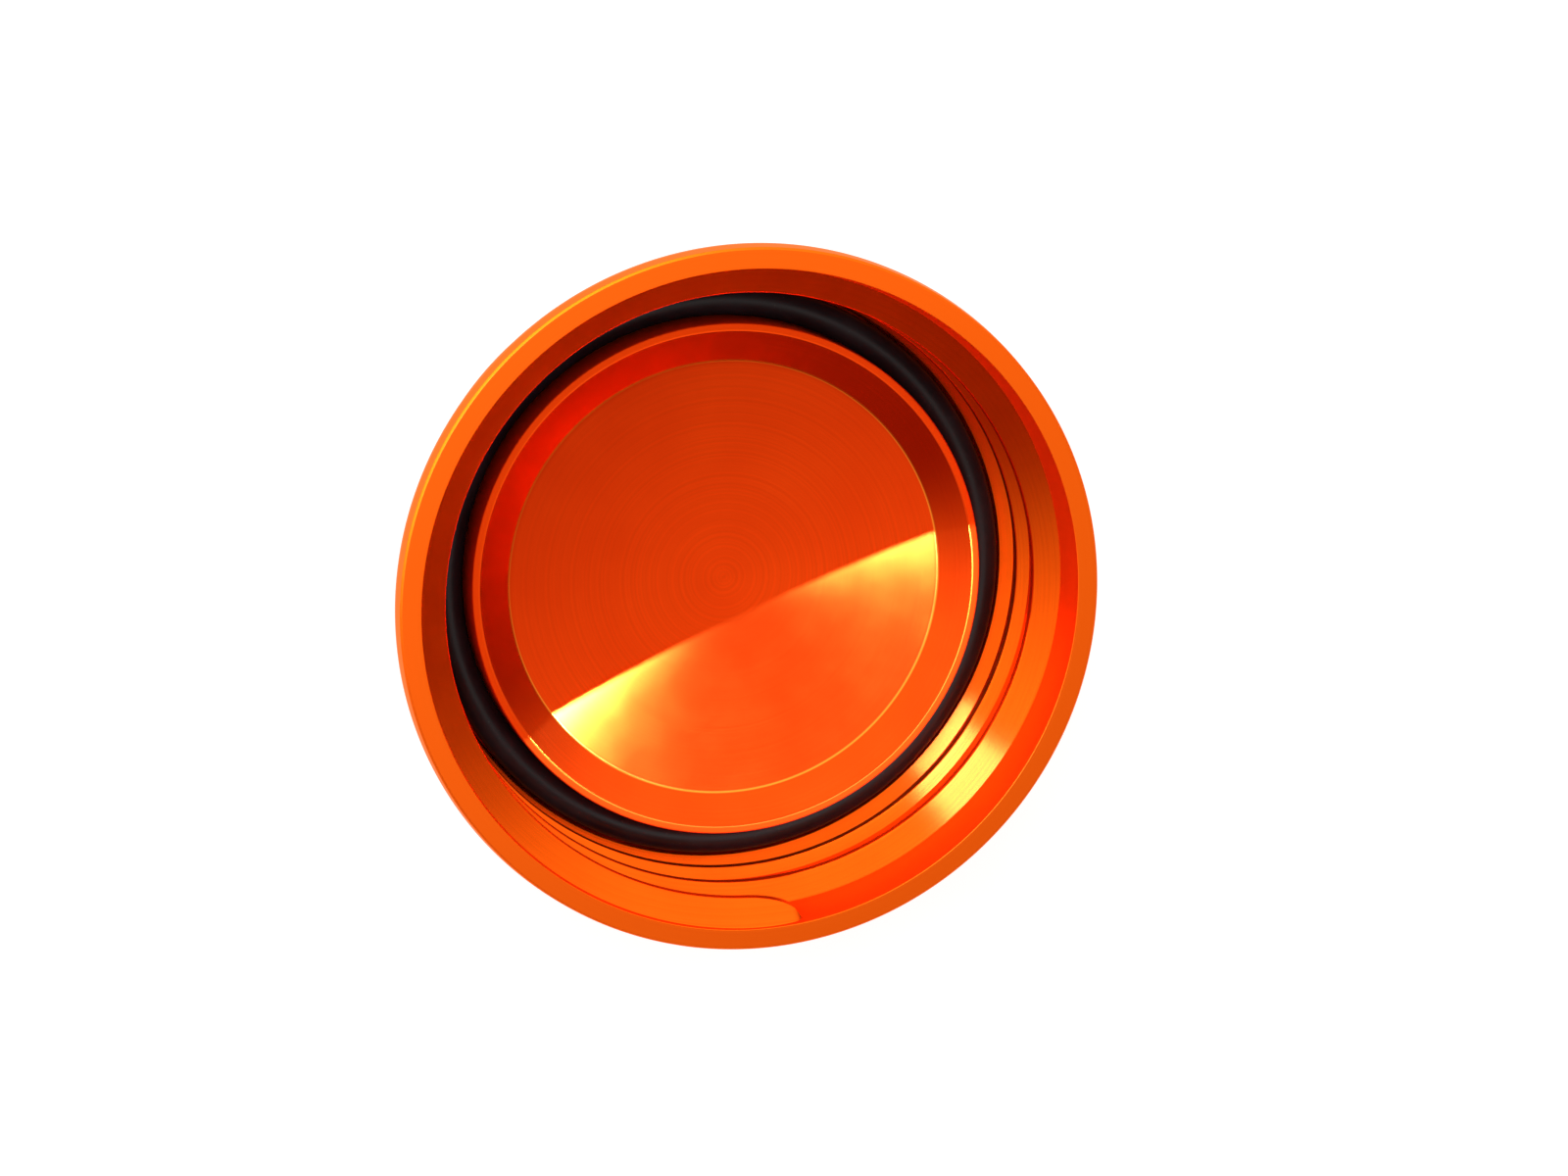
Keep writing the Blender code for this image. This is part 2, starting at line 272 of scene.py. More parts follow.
def span(order, start, end):
    """The keys from start to end, both included, going round the row."""
    i, j = order.index(start), order.index(end)
    if j > i:
        return order[i : j + 1]
    return order[i:] + order[: j + 1]


# ---------------------------------------------------------------- shapes


def wall_radius(height):
    """The bore without its thread: a tapered counterbore, a ledge, then the thread's root."""
    if height <= LEDGE_HEIGHT:
        return ROOT_RADIUS
    share = (HEIGHT - height) / (HEIGHT - LEDGE_HEIGHT)
    return COUNTERBORE_RADIUS + share * (COUNTERBORE_END_RADIUS - COUNTERBORE_RADIUS)


def flank_root(crest, height, side):
    """Where a flank that leaves the crest's edge meets the wall. Side is 1 above and -1 below."""
    radius = ROOT_RADIUS
    root = height + side * FLANK_SLOPE * (radius - crest)
    if root <= LEDGE_HEIGHT:
        return radius, root
    for _ in range(FLANK_PASSES):
        radius = wall_radius(max(root, LEDGE_HEIGHT + JUST_ABOVE_LEDGE))
        root = height + side * FLANK_SLOPE * (radius - crest)
    if root < LEDGE_HEIGHT:
        return crest + (height - LEDGE_HEIGHT) / FLANK_SLOPE, LEDGE_HEIGHT
    return radius, root


def rib_outline(turn):
    """The thread's section so many turns from its start, from its top root down."""
    share = min(1.0, max(0.0, min(turn, THREAD_TURNS - turn)) / RUN_OUT_TURNS)
    growth = sqrt(1.0 - (1.0 - share) ** 2)
    middle = CREST_START - PITCH * turn
    wall = wall_radius(middle)
    crest = wall - growth * (wall - CREST_RADIUS)
    half = 0.5 * CREST_WIDTH + FLANK_SLOPE * (crest - CREST_RADIUS) * 0.5
    top = flank_root(crest, middle + half, 1)
    bottom = flank_root(crest, middle - half, -1)
    if growth < FAINT_GROWTH:
        flat = 2 * (ARC_STEPS + 1) + 1
        return [(wall, middle + half - 2 * half * i / flat) for i in range(flat + 1)]
    edge = CREST_EDGE * growth
    corners = [
        (*top, 0.0),
        (crest, middle + half, edge),
        (crest, middle - half, edge),
        (*bottom, 0.0),
    ]
    return rounded(corners, closed=False)


def bore_row(share):
    """Keyed outline of the bore, top to bottom, this share of a turn from the thread's start.

    Known fault: in nine rows, where the rib meets the bore less than LEDGE_EDGE under the
    ledge, the ledge is left out. A block about 10 degrees wide, which the CAD doesn't have,
    fills its corner there.
    """
    ledge = {
        ("ledge", 0): (COUNTERBORE_END_RADIUS, LEDGE_HEIGHT),
        ("ledge", 1): (ROOT_RADIUS + LEDGE_EDGE, LEDGE_HEIGHT),
        ("ledge", 2): (ROOT_RADIUS, LEDGE_HEIGHT - LEDGE_EDGE),
    }
    row = {}
    ledge_open = True
    for lap in range(int(THREAD_TURNS) + 1):
        turn = lap + share
        if turn > THREAD_TURNS + TURN_TOLERANCE:
            break
        rib = rib_outline(turn)
        if ledge_open and rib[0][1] < LEDGE_HEIGHT - LEDGE_EDGE:
            row.update(ledge)
            ledge_open = False
        row.update({("rib", lap, i): point for i, point in enumerate(rib)})
        if rib[-1][1] < LEDGE_HEIGHT - LEDGE_EDGE:
            ledge_open = False
    if ledge_open:
        row.update(ledge)
    return row


def nut_frame():
    """The rest of the nut's outline, from the bore's floor round the back to the rim."""
    band_bottom = HEIGHT - BAND_HEIGHT
    neck_top = band_bottom - (BAND_END_RADIUS - NECK_RADIUS)
    bulge_top = HEIGHT - BULGE_DEPTH + BULGE_HALF_FLAT
    bulge_bottom = HEIGHT - BULGE_DEPTH - BULGE_HALF_FLAT
    shoulder_top = SHOULDER_BOTTOM + SHOULDER_RISE
    crisp, fine, small = 0.1 * MM, 0.15 * MM, 0.2 * MM
    medium, large, bulge = 0.4 * MM, 1.2 * MM, 1.4 * MM
    corners = [
        (ROOT_RADIUS, shoulder_top + JOIN_STRIP, 0.0),
        (ROOT_RADIUS, shoulder_top, small),
        (PILOT_RADIUS, SHOULDER_BOTTOM, fine),
        (PILOT_RADIUS, WEB_TOP, fine),
        (HUB_RADIUS + CLEARANCE, WEB_TOP, fine),
        (HUB_RADIUS + CLEARANCE, WEB_BOTTOM, fine),
        (RECESS_RADIUS, WEB_BOTTOM, fine),
        (RECESS_RADIUS, NUT_BOTTOM, RECESS_FILLET),
        (BACK_RADIUS - BACK_CHAMFER, NUT_BOTTOM, medium),
        (BACK_RADIUS, NUT_BOTTOM + BACK_CHAMFER, medium),
        (REAR_RADIUS, REAR_BOTTOM, large),
        (REAR_RADIUS, REAR_TOP, medium),
        (WAIST_RADIUS, HEIGHT - WAIST_END_DEPTH, medium),
        (WAIST_RADIUS, HEIGHT - WAIST_DEPTH, large),
        (NECK_RADIUS, HEIGHT - NECK_DEPTH, large),
        (NECK_RADIUS, neck_top, medium),
        (BAND_END_RADIUS, band_bottom, medium),
        (RIM_RADIUS, bulge_bottom, bulge),
        (RIM_RADIUS, bulge_top, bulge),
        (RIM_FLAT_RADIUS + RIM_CHAMFER, HEIGHT - RIM_CHAMFER, crisp),
        (RIM_FLAT_RADIUS, HEIGHT, crisp),
        (COUNTERBORE_RADIUS, HEIGHT, crisp),
        (COUNTERBORE_RADIUS, HEIGHT - JOIN_STRIP, 0.0),
    ]
    return rounded(corners, closed=False)


def notch_cutters():
    """Upright round cutters spaced about the back of the nut."""
    shape = bmesh.new()
    depth = NOTCH_TOP + NOTCH_OVERCUT
    for index in range(NOTCH_COUNT):
        a = 2 * pi * index / NOTCH_COUNT
        made = bmesh.ops.create_cone(
            shape,
            cap_ends=True,
            segments=NOTCH_SIDES,
            radius1=NOTCH_RADIUS,
            radius2=NOTCH_RADIUS,
            depth=depth,
        )
        place = (NOTCH_CENTRE * cos(a), NOTCH_CENTRE * sin(a), NOTCH_TOP - depth / 2)
        bmesh.ops.translate(shape, verts=made["verts"], vec=place)
    mesh = bpy.data.meshes.new("notch_cutters")
    shape.to_mesh(mesh)
    shape.free()
    return add_object("notch_cutters", mesh)


def cut(piece, cutters):
    """Cut the piece for good, and remove the cutters."""
    boolean = piece.modifiers.new("cut", "BOOLEAN")
    boolean.operation = "DIFFERENCE"
    boolean.solver = "EXACT"
    boolean.object = cutters
    evaluated = piece.evaluated_get(bpy.context.evaluated_depsgraph_get())
    mesh = bpy.data.meshes.new_from_object(evaluated)
    piece.modifiers.clear()
    piece.data = mesh
    mesh.shade_smooth()
    mesh.set_sharp_from_angle(angle=SHARP_ANGLE)
    bpy.data.objects.remove(cutters, do_unlink=True)


def nut_shell(material):
    """The swivel nut: one outline for each degree, because the thread moves down as it turns."""
    shape = bmesh.new()
    fixed = {("frame", i): point for i, point in enumerate(nut_frame())}
    rows = []
    for step in range(STEPS):
        share = step / STEPS
        a = THREAD_START - 2 * pi * share
        outline = {**bore_row(share), **fixed}
        rows.append(
            {
                key: shape.verts.new((r * cos(a), r * sin(a), z))
                for key, (r, z) in outline.items()
            }
        )
    for here, after in zip(rows, rows[1:]):
        stitch(shape, here, after)
    next_lap = {}
    for key, vertex in rows[-1].items():
        if key[0] == "rib":
            key = ("rib", key[1] + 1, key[2])
        next_lap[key] = vertex
    stitch(shape, next_lap, rows[0])
    nut = finish_piece(shape, "swivel_nut", material)
    cut(nut, notch_cutters())
    weigh_normals(nut)
    return nut


def disc_outline():
    """The closing disc, from the middle of its dish over the land and flange to the pocket."""
    groove_bottom = CLIP_BOTTOM - CLEARANCE
    groove_top = CLIP_TOP + 0.5 * CLEARANCE
    groove_radius = HUB_RADIUS - CLIP_GROOVE_DEPTH
    dish_edge = NOSE_TOP - DISH_EDGE_DEPTH
    crisp, land, fine = 0.1 * MM, 0.15 * MM, 0.25 * MM
    hub, corner, pocket = 0.35 * MM, 0.5 * MM, 0.6 * MM
    dish = []
    for i in range(DISH_RINGS + 1):
        radius = DISH_EDGE_RADIUS * i / DISH_RINGS
        dish.append((radius, dish_edge - DISH_SAG * (1 - (radius / DISH_EDGE_RADIUS) ** 2)))
    corners = [
        (dish[-2][0], dish[-2][1], 0.0),
        (dish[-1][0], dish[-1][1], corner),
        (NOSE_RADIUS - LAND_WIDTH, NOSE_TOP, land),
        (NOSE_RADIUS, NOSE_TOP, fine),
        (NOSE_RADIUS, FLANGE_TOP, corner),
        (FLANGE_RADIUS, FLANGE_TOP, fine),
        (FLANGE_RADIUS, FLANGE_BOTTOM, fine),
        (HUB_RADIUS, FLANGE_BOTTOM, fine),
        (HUB_RADIUS, groove_top, crisp),
        (groove_radius, groove_top, crisp),
        (groove_radius, groove_bottom, crisp),
        (HUB_RADIUS, groove_bottom, crisp),
        (HUB_RADIUS, HUB_END, hub),
        (POCKET_RADIUS, HUB_END, fine),
        (POCKET_RADIUS, POCKET_TOP, pocket),
        (0.0, POCKET_TOP, 0.0),
    ]
    return dish[:-2] + rounded(corners, closed=False)


def seal_outline():
    """A round section with the faint flash line of its mould on the inside."""
    section = 0.5 * (SEAL_TOP - SEAL_BOTTOM)
    centre_radius = SEAL_OUTER - section
    centre_height = SEAL_BOTTOM + section
    outline = []
    for side in range(SEAL_SIDES):
        a = -2 * pi * side / SEAL_SIDES
        radius = section + (SEAL_FLASH if side == SEAL_SIDES // 2 else 0.0)
        outline.append((centre_radius + radius * cos(a), centre_height + radius * sin(a)))
    return outline


def clip_outline():
    """Closed plan outline of the snap ring as (radius, angle), with its gap facing -X."""
    lug_end = CLIP_HALF_GAP + CLIP_LUG_ANGLE
    body = 2 * pi - 2 * lug_end - 2 * CLIP_LUG_BLEND
    outline = []
    for step in range(CLIP_LUG_STEPS + 1):
        angle = CLIP_HALF_GAP + CLIP_LUG_ANGLE * step / CLIP_LUG_STEPS
        outline.append((CLIP_LUG_RADIUS, angle))
    for step in range(CLIP_STEPS + 1):
        angle = lug_end + CLIP_LUG_BLEND + body * step / CLIP_STEPS
        share = 0.5 - 0.5 * cos(angle)
        width = CLIP_END_WIDTH + share * (CLIP_BACK_WIDTH - CLIP_END_WIDTH)
        outline.append((CLIP_INNER + width, angle))
    for step in range(CLIP_LUG_STEPS + 1):
        angle = 2 * pi - lug_end + CLIP_LUG_ANGLE * step / CLIP_LUG_STEPS
        outline.append((CLIP_LUG_RADIUS, angle))
    inner_steps = 2 * CLIP_STEPS
    for step in range(inner_steps + 1):
        angle = 2 * pi - CLIP_HALF_GAP - (2 * pi - 2 * CLIP_HALF_GAP) * step / inner_steps
        outline.append((CLIP_INNER, angle))
    return outline


def snap_ring(material):
    """The flat snap ring: a filled curve with two plier holes and stamped, rounded edges."""
    curve = bpy.data.curves.new("snap_ring_outline", "CURVE")
    curve.dimensions = "2D"
    curve.fill_mode = "BOTH"
    curve.extrude = 0.5 * (CLIP_TOP - CLIP_BOTTOM) - CLIP_FILLET
    curve.bevel_depth = CLIP_FILLET
    curve.bevel_resolution = 2
    curve.offset = -CLIP_FILLET
    loops = [[(-radius * cos(a), -radius * sin(a)) for radius, a in clip_outline()]]
    for side in (-1, 1):
        a = pi + side * (CLIP_HALF_GAP + 0.5 * CLIP_LUG_ANGLE)
        x, y = CLIP_HOLE_CENTRE * cos(a), CLIP_HOLE_CENTRE * sin(a)
        hole = []
        for step in range(CLIP_HOLE_STEPS):
            b = 2 * pi * step / CLIP_HOLE_STEPS
            hole.append((x + CLIP_HOLE_RADIUS * cos(b), y + CLIP_HOLE_RADIUS * sin(b)))
        loops.append(hole)
    for loop in loops:
        spline = curve.splines.new("POLY")
        spline.points.add(len(loop) - 1)
        for point, (x, y) in zip(spline.points, loop):
            point.co = (x, y, 0.0, 1.0)
        spline.use_cyclic_u = True
    outline = add_object("snap_ring_outline", curve)
    outline.location.z = 0.5 * (CLIP_TOP + CLIP_BOTTOM)
    bpy.context.view_layer.update()
    evaluated = outline.evaluated_get(bpy.context.evaluated_depsgraph_get())
    mesh = bpy.data.meshes.new_from_object(evaluated)
    shape = bmesh.new()
    shape.from_mesh(mesh)
    shape.transform(outline.matrix_world)
    bpy.data.objects.remove(outline, do_unlink=True)
    bmesh.ops.remove_doubles(shape, verts=shape.verts, dist=CLIP_MERGE)
    return finish_piece(shape, "snap_ring", material)


# ---------------------------------------------------------------- materials

# Sockets of a mix node: its factor and numbers, then its colours.
MIX_FACTOR, MIX_NUMBER_A, MIX_NUMBER_B = 0, 2, 3
MIX_COLOUR_A, MIX_COLOUR_B, MIX_COLOUR_RESULT = 6, 7, 2


class Nodes:
    """Short calls for building one material's node tree."""

    def __init__(self, name):
        self.material = bpy.data.materials.new(name)
        self.material.use_nodes = True
        self.tree = self.material.node_tree
        self.shader = self.tree.nodes["Principled BSDF"]

    def add(self, kind, inputs=None, **settings):
        node = self.tree.nodes.new(kind)
        for key, value in settings.items():
            setattr(node, key, value)
        for key, value in (inputs or {}).items():
            self.feed(node.inputs[key], value)
        return node

    def feed(self, socket, value):
        if isinstance(value, bpy.types.NodeSocket):
            self.tree.links.new(value, socket)
        else:
            socket.default_value = value

    def set(self, **inputs):
        for key, value in inputs.items():
            self.feed(self.shader.inputs[key.replace("_", " ")], value)

    def math(self, operation, a, b=0.0):
        node = self.add("ShaderNodeMath", {0: a, 1: b}, operation=operation)
        return node.outputs[0]

    def noise(self, scale, detail=4.0, rough=0.5, **inputs):
        settings = {"Scale": scale, "Detail": detail, "Roughness": rough, **inputs}
        return self.add("ShaderNodeTexNoise", settings).outputs["Fac"]

    def line_noise(self, position, scale, detail=2.0):
        """Noise that changes along one number only, such as the distance along a profile."""
        node = self.add(
            "ShaderNodeTexNoise",
            {"W": position, "Scale": scale, "Detail": detail},
            noise_dimensions="1D",
        )
        return node.outputs["Fac"]

    def remap(self, value, low, high, to_low, to_high):
        """Stretch the range low to high onto to_low to to_high, and stop at its ends."""
        ends = {"From Min": low, "From Max": high, "To Min": to_low, "To Max": to_high}
        node = self.add("ShaderNodeMapRange", {"Value": value, **ends})
        return node.outputs["Result"]

    def mix(self, share, first, second):
        node = self.add("ShaderNodeMix", data_type="RGBA")
        self.feed(node.inputs["Factor"], share)
        self.feed(node.inputs[MIX_COLOUR_A], first)
        self.feed(node.inputs[MIX_COLOUR_B], second)
        return node.outputs[MIX_COLOUR_RESULT]

    def bump(self, height, distance, strength):
        node = self.add("ShaderNodeBump", {"Height": height, "Distance": distance})
        self.feed(node.inputs["Strength"], strength)
        return node.outputs["Normal"]

    def profile_position(self):
        """The place, its distance from the axis, and that distance plus the height.

        The last one changes along every turned surface.
        """
        place = self.add("ShaderNodeTexCoord").outputs["Object"]
        parts = self.add("ShaderNodeSeparateXYZ", {0: place})
        x2 = self.math("MULTIPLY", parts.outputs["X"], parts.outputs["X"])
        y2 = self.math("MULTIPLY", parts.outputs["Y"], parts.outputs["Y"])
        radius = self.math("SQRT", self.math("ADD", x2, y2))
        return place, radius, self.math("ADD", radius, parts.outputs["Z"])

    def facing(self, place):
        """How far a face looks away from the axis, times its radius, and how far it looks up."""
        level = self.add(
            "ShaderNodeVectorMath", {0: place, 1: (1.0, 1.0, 0.0)}, operation="MULTIPLY"
        )
        normal = self.add("ShaderNodeTexCoord").outputs["Normal"]
        product = self.add(
            "ShaderNodeVectorMath", {0: level.outputs[0], 1: normal}, operation="DOT_PRODUCT"
        )
        rise = self.add("ShaderNodeSeparateXYZ", {0: normal}).outputs["Z"]
        return product.outputs["Value"], rise


def colour(red, green, blue):
    return (red, green, blue, 1.0)


# Orange anodising. Marks and patches are counted per metre.
NUT_GREEN = 0.105
DISC_GREEN = 0.064
# Pale orange of the painted highlight line along the dish's edge.
EDGE_HIGHLIGHT_ORANGE = colour(1.0, 0.24, 0.02)
TURNED_SPREAD = 0.98
NUT_ROUGHNESS = 0.20
DISC_ROUGHNESS = 0.14
NUT_MATT = 0.42
DISC_MATT = 0.62
NUT_MARKS = 0.004 * MM
DISC_MARKS = 0.002 * MM
TOOL_MARKS = 9000.0
FEED_MARKS = 2200.0
DRIFT_BANDS = 260.0
DYE_CLOUDS = 38.0
SMUDGES = 160.0
GROOVE_DARKENING = 0.28
WALL_RISE = (0.5, 0.3)
WALL_STRIP = 0.8 * MM
MATT_BLEND = 0.2 * MM
OUTWARD_RANGE = (4.0 * MM, 8.0 * MM)
# How far the painted highlight line reaches on each side of its edge.
EDGE_HIGHLIGHT_RANGE = (0.08 * MM, 0.2 * MM)


def orange_anodised(name, green, roughness, marks, matt_from, matt_roughness, highlight_edge=None):
    """Turned aluminium under an orange anodised coat.

    Fine concentric tool marks stretch its highlights across the marks. The dye is a little
    uneven. Faces beyond the radius matt_from are matt, and so are those that look away from
    the axis and upright walls just inside that radius. All these matt faces also get a
    lighter, yellower orange, a painted brightening. A painted highlight, a thin pale orange
    line, runs along the edge at the radius given by the last argument.
    """
    n = Nodes(name)
    place, radius, along = n.profile_position()
    fine = n.line_noise(along, TOOL_MARKS, detail=3.0)
    feed = n.line_noise(along, FEED_MARKS, detail=1.0)
    drift = n.line_noise(along, DRIFT_BANDS, detail=2.0)
    cloud = n.noise(DYE_CLOUDS, detail=5.0, rough=0.55, Vector=place)
    smudge = n.noise(SMUDGES, detail=6.0, rough=0.6, Vector=place)
    marks_height = n.math("ADD", fine, n.math("MULTIPLY", feed, 1.6))

    deep, bright = colour(0.88, 0.86 * green, 0.003), colour(0.97, 1.12 * green, 0.004)
    dye = n.mix(n.remap(cloud, 0.35, 0.65, 0.0, 1.0), deep, bright)
    banded = n.mix(n.remap(drift, 0.3, 0.7, 0.0, 0.35), dye, colour(0.92, green, 0.003))
    groove_share = n.remap(feed, 0.35, 0.65, 0.0, GROOVE_DARKENING)
    grooved = n.mix(groove_share, banded, colour(0.75, 0.7 * green, 0.002))

    rough = n.remap(fine, 0.3, 0.7, roughness * 0.85, roughness * 1.15)
    rough = n.math("ADD", rough, n.remap(smudge, 0.4, 0.7, 0.0, 0.15 * roughness))
    outwardness, rise = n.facing(place)
    wall_share = n.remap(rise, *WALL_RISE, 0.0, 1.0)
    widened = n.math("ADD", radius, n.math("MULTIPLY", wall_share, WALL_STRIP))
    beyond = n.remap(widened, matt_from - MATT_BLEND, matt_from, 0.0, 1.0)
    matt = n.math("MAXIMUM", beyond, n.remap(outwardness, *OUTWARD_RANGE, 0.0, 1.0))
    ends = {MIX_FACTOR: matt, MIX_NUMBER_A: rough, MIX_NUMBER_B: matt_roughness}
    rough = n.add("ShaderNodeMix", ends).outputs[0]
    spread = n.remap(matt, 0.0, 1.0, TURNED_SPREAD, 0.0)
    # Painted brightening: the matt faces, such as the rim, the outside and upright walls, get a
    # lighter, yellower orange.
    base = n.mix(matt, grooved, colour(1.0, 1.35 * green, 0.004))
    # A painted highlight: a thin pale orange line along the dish's edge.
    if highlight_edge is not None:
        from_edge = n.math("ABSOLUTE", n.math("SUBTRACT", radius, highlight_edge))
        base = n.mix(n.remap(from_edge, *EDGE_HIGHLIGHT_RANGE, 1.0, 0.0), base, EDGE_HIGHLIGHT_ORANGE)
    tangent = n.add("ShaderNodeTangent", direction_type="RADIAL", axis="Z").outputs[0]
    n.set(Base_Color=base, Metallic=1.0, Roughness=rough, Specular_Tint=colour(1.0, 0.8, 0.6))
    n.set(Anisotropic=spread, Anisotropic_Rotation=0.25, Tangent=tangent)
    n.set(Normal=n.bump(marks_height, marks, 0.6))
    return n.material


def black_rubber():
    """Moulded nitrile: smooth and slightly glossy, with a faint bloom and a few specks."""
    n = Nodes("black_rubber")
    place = n.add("ShaderNodeTexCoord").outputs["Object"]
    bloom = n.noise(90.0, detail=5.0, rough=0.6, Vector=place)
    grain = n.noise(2600.0, detail=2.0, rough=0.5, Vector=place)
    specks = n.add("ShaderNodeTexVoronoi", {"Vector": place, "Scale": 700.0}).outputs["Distance"]
    dust = n.remap(specks, 0.05, 0.09, 1.0, 0.0)
    clean, bloomed = colour(0.007, 0.008, 0.010), colour(0.016, 0.018, 0.022)
    base = n.mix(n.remap(bloom, 0.4, 0.7, 0.0, 1.0), clean, bloomed)
    base = n.mix(n.math("MULTIPLY", dust, 0.25), base, colour(0.10, 0.10, 0.10))
    rough = n.remap(bloom, 0.3, 0.7, 0.34, 0.5)
    n.set(Base_Color=base, Roughness=rough, Specular_IOR_Level=0.35)
    n.set(Normal=n.bump(grain, 0.006 * MM, 0.5))
    return n.material


def ivory_polymer():
    """Machined acetal: waxy and matt, with faint turning marks."""
    n = Nodes("ivory_polymer")
    place, _, along = n.profile_position()
    marks = n.line_noise(along, 4000.0, detail=2.0)
    cloud = n.noise(60.0, detail=4.0, rough=0.5, Vector=place)
    deep, pale = colour(0.74, 0.71, 0.62), colour(0.82, 0.80, 0.73)
    base = n.mix(n.remap(cloud, 0.3, 0.7, 0.0, 1.0), deep, pale)
    rough = n.remap(marks, 0.3, 0.7, 0.38, 0.5)
    n.set(Base_Color=base, Roughness=rough, Subsurface_Weight=0.15, Subsurface_Scale=1.0 * MM)
    n.set(Normal=n.bump(marks, 0.01 * MM, 0.5))
    return n.material


def spring_steel():
    """Stamped and tumbled stainless steel: satin, with short random scratches."""
    n = Nodes("spring_steel")
    place = n.add("ShaderNodeTexCoord").outputs["Object"]
    stretch = {"Vector": place, "Scale": (1.0, 9.0, 1.0), "Rotation": (0, 0, 0.6)}
    stretched = n.add("ShaderNodeMapping", stretch).outputs[0]
    scratches = n.noise(900.0, detail=4.0, rough=0.7, Vector=stretched)
    cloud = n.noise(120.0, detail=5.0, rough=0.6, Vector=place)
    dark, light = colour(0.44, 0.44, 0.45), colour(0.60, 0.60, 0.61)
    base = n.mix(n.remap(cloud, 0.35, 0.65, 0.0, 1.0), dark, light)
    haze = n.remap(cloud, 0.4, 0.7, 0.0, 0.08)
    rough = n.math("ADD", n.remap(scratches, 0.3, 0.7, 0.24, 0.42), haze)
    n.set(Base_Color=base, Metallic=1.0, Roughness=rough)
    n.set(Normal=n.bump(scratches, 0.008 * MM, 0.5))
    return n.material


# ---------------------------------------------------------------- the object


def place_piece(piece, node, body):
    """Let the piece stand for a CAD node, and move with a body."""
    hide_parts(node)
    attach(piece, body)


def build_object():
    """Build the six pieces. The lamps need the nut and the disc, so those two are returned."""
    nut_metal = orange_anodised(
        "nut_anodised", NUT_GREEN, NUT_ROUGHNESS, NUT_MARKS, COUNTERBORE_RADIUS, NUT_MATT
    )
    land_middle = NOSE_RADIUS - 0.75 * LAND_WIDTH
    disc_metal = orange_anodised(
        "disc_anodised",
        DISC_GREEN,
        DISC_ROUGHNESS,
        DISC_MARKS,
        land_middle,
        DISC_MATT,
        # radius of the painted highlight line on the dish's edge
        DISH_EDGE_RADIUS,
    )
    steel = spring_steel()
    nut = nut_shell(nut_metal)
    disc = turned("closing_disc", disc_outline(), disc_metal, closed=False)
    seal = turned("sealing_ring", seal_outline(), black_rubber())
    slip_size = (THRUST_INNER, THRUST_OUTER, THRUST_BOTTOM, THRUST_TOP)
    thrust = flat_ring("slip_ring", *slip_size, ivory_polymer())
    washer_size = (HUB_RADIUS + CLEARANCE, WASHER_OUTER, WASHER_BOTTOM, WASHER_TOP)
    washer = flat_ring("clip_washer", *washer_size, steel)
    place_piece(nut, "coupling_nut", "nut")
    place_piece(disc, "swivel_disc", "disc")
    place_piece(seal, "face_o_ring", "disc")
    place_piece(snap_ring(steel), "retaining_ring", "disc")
    place_piece(thrust, "thrust_ring", "slip_rings")
    place_piece(washer, "back_washer", "slip_rings")
    return nut, disc


# ---------------------------------------------------------------- the studio

# The floor lies this far under the back face, and glows a little so that it looks white.
FLOOR_DROP = 0.25 * MM
FLOOR_HALF_WIDTH = 4.0
FLOOR_GLOW = 0.74

# Turns are measured anticlockwise from +X, tilts from +Z.
CAMERA_TILT = radians(18.0)
CAMERA_TURN = radians(139.0)
CAMERA_DISTANCE = 0.483
CAMERA_LENS = 78.75
CAMERA_SHIFT = (0.017, 0.0114)
CAMERA_NEAR = 0.01

# The lamps' colours, powers and places are set so that the highlights match the photo's.
KEY_SLOPE = (0.307, -0.171)
KEY_HEIGHT = 0.6
KEY_POWER = 24.0
KEY_COLOUR = (0.20, 0.40, 1.0)
KEY_EDGE_TURN = radians(24.5)
KEY_EDGE_DROP = 6.6 * MM
KEY_SPREAD = radians(110)
KEY_RADIUS = 0.5 * MM

WINDOW_TURN = radians(146)
WINDOW_TILT = radians(38)
WINDOW_DISTANCE = 1.0
WINDOW_SIZE = (0.24, 0.30)
WINDOW_RADIANCE = 140.0
WINDOW_COLOUR = (0.16, 0.16, 1.0)
LOW_WINDOW_TILT = radians(71)
LOW_WINDOW_SIZE = (1.9, 0.36)
LOW_WINDOW_RADIANCE = 5.0

# The sky's bright side leans this way. Its ramp is in cosines of the angle from there.
SKY_TURN = radians(110)
SKY_LEAN = radians(50)
SKY_RAMP = (0.1, 0.75)
SKY_BRIGHT = (1.5, 1.49, 1.46, 1.0)
SKY_DARK = (0.27, 0.09, 0.05, 1.0)


def toward(turn, tilt):
    """Unit vector that leans from the vertical by tilt, towards the compass direction turn."""
    return Vector((sin(tilt) * cos(turn), sin(tilt) * sin(turn), cos(tilt)))


def studio_floor():
    """A large pale table top, low enough to clear the nut when its end float takes it down."""
    n = Nodes("pale_floor")
    place = n.add("ShaderNodeTexCoord").outputs["Object"]
    grain = n.noise(30.0, detail=4.0, rough=0.5, Vector=place)
    dark, light = colour(0.40, 0.40, 0.40), colour(0.44, 0.44, 0.44)
    tone = n.mix(n.remap(grain, 0.3, 0.7, 0.0, 1.0), dark, light)
    n.set(Base_Color=tone, Roughness=0.9, Specular_IOR_Level=0.0)
    n.set(Emission_Color=colour(1.0, 1.0, 1.0), Emission_Strength=FLOOR_GLOW)
    shape = bmesh.new()
    bmesh.ops.create_grid(shape, x_segments=4, y_segments=4, size=FLOOR_HALF_WIDTH)
    table = finish_piece(shape, "studio_floor", n.material)
    table.location.z = -FLOOR_DROP


